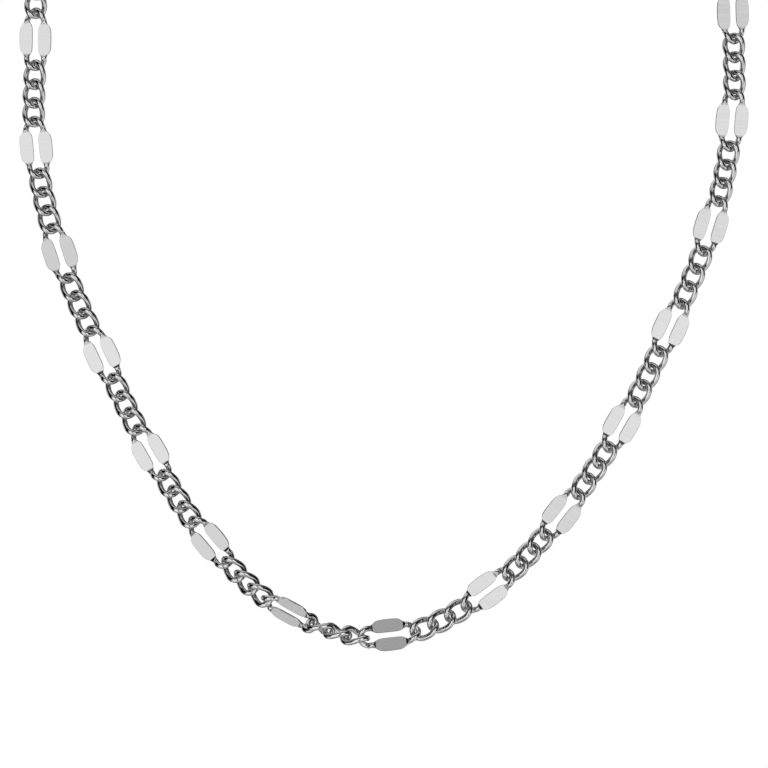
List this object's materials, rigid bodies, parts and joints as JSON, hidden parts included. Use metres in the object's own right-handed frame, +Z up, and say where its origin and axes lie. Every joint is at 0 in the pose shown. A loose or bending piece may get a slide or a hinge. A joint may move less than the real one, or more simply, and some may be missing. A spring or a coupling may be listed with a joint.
{
  "type": "curb chain necklace",
  "caption": "Steel curb chain necklace with long flat-plated links between groups of round twisted links, closed by a plain barrel clasp at the nape, shown hanging as worn.",
  "frame": {"origin": "on the midline of the nape, where the neck side of the clasp's barrel lies on it", "axes": "+Z up as worn, +Y backward out of the nape, so the front of the chain faces -Y, and +X to the viewer's right"},
  "size_m": [0.1391, 0.0549, 0.1638],
  "materials": {
    "plate_link": "wire bends polished, flat plates finely brushed",
    "curb_link": "polished steel",
    "clasp": "polished steel"
  },
  "bodies": {
    "root": {"clasp": "clasp", "curb_links_right": "curb_link", "curb_links_left": "curb_link", "plate_link_01": "plate_link", "plate_link_02": "plate_link", "plate_link_03": "plate_link", "plate_link_04": "plate_link", "plate_link_05": "plate_link", "plate_link_06": "plate_link", "plate_link_07": "plate_link", "plate_link_08": "plate_link", "plate_link_09": "plate_link", "plate_link_10": "plate_link", "plate_link_11": "plate_link", "plate_link_12": "plate_link", "plate_link_13": "plate_link", "plate_link_14": "plate_link", "plate_link_15": "plate_link", "plate_link_16": "plate_link", "plate_link_17": "plate_link", "plate_link_18": "plate_link", "plate_link_19": "plate_link", "plate_link_20": "plate_link", "plate_link_21": "plate_link", "plate_link_22": "plate_link", "plate_link_23": "plate_link"}
  },
  "joints": []
}
